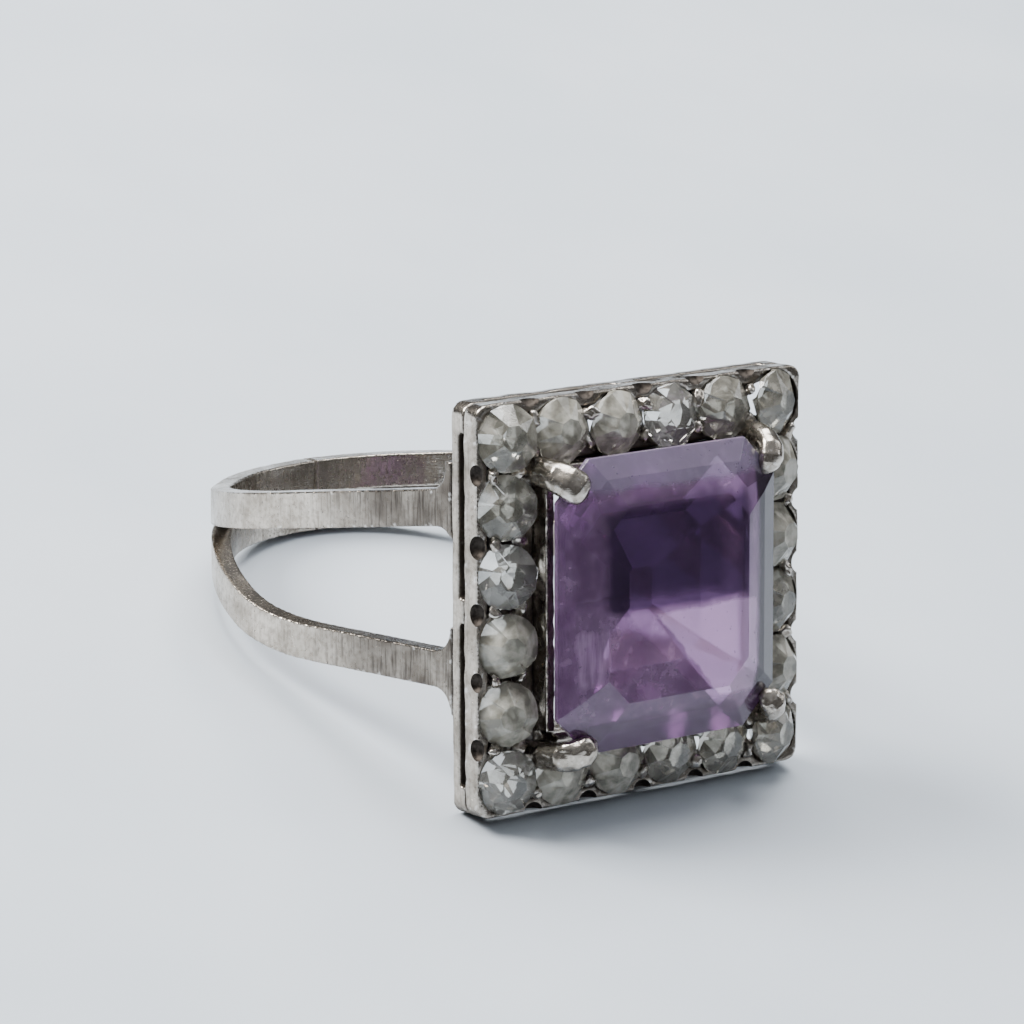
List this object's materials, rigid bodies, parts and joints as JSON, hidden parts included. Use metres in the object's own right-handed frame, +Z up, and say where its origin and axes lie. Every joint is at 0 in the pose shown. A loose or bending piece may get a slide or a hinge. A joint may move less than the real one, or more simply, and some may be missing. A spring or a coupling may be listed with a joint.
{
  "type": "cocktail ring",
  "caption": "Silver cocktail ring: split shank, step-cut amethyst held by claws over a square border of small round stones.",
  "frame": {"origin": "centre of the finger hole, on its axis and midway between the two strips of the shank", "axes": "+Z is up off the table that the ring lies on; the head faces -Y and +X runs to the head's right. The finger hole's axis leans towards +Y by 19.2 degrees from +Z, which is how the ring lies on the head's lower edge and the back of the shank."},
  "size_m": [0.0194, 0.0266, 0.0163],
  "materials": {
    "silver_shank": "worn polished silver with fine file marks and scratches",
    "silver_head": "polished silver, darkened in the recesses",
    "silver_claws": "bright polished silver",
    "solder": "dull grey solder line",
    "amethyst": "clear purple quartz with polished facets",
    "border_stones": "slightly cloudy colourless paste with worn facets"
  },
  "bodies": {
    "root": {"amethyst": "amethyst", "back_seam_solder": "solder", "border_stone_01": "border_stones", "border_stone_02": "border_stones", "border_stone_03": "border_stones", "border_stone_04": "border_stones", "border_stone_05": "border_stones", "border_stone_06": "border_stones", "border_stone_07": "border_stones", "border_stone_08": "border_stones", "border_stone_09": "border_stones", "border_stone_10": "border_stones", "border_stone_11": "border_stones", "border_stone_12": "border_stones", "border_stone_13": "border_stones", "border_stone_14": "border_stones", "border_stone_15": "border_stones", "border_stone_16": "border_stones", "border_stone_17": "border_stones", "border_stone_18": "border_stones", "border_stone_19": "border_stones", "border_stone_20": "border_stones", "claw_lower_left": "silver_claws", "claw_lower_right": "silver_claws", "claw_upper_left": "silver_claws", "claw_upper_right": "silver_claws", "collet": "silver_head", "gallery_frame": "silver_head", "lower_left_strip": "silver_shank", "lower_right_strip": "silver_shank", "setting_grains": "silver_head", "setting_tray": "silver_head", "spine_solder": "solder", "upper_left_strip": "silver_shank", "upper_right_strip": "silver_shank"}
  },
  "joints": []
}
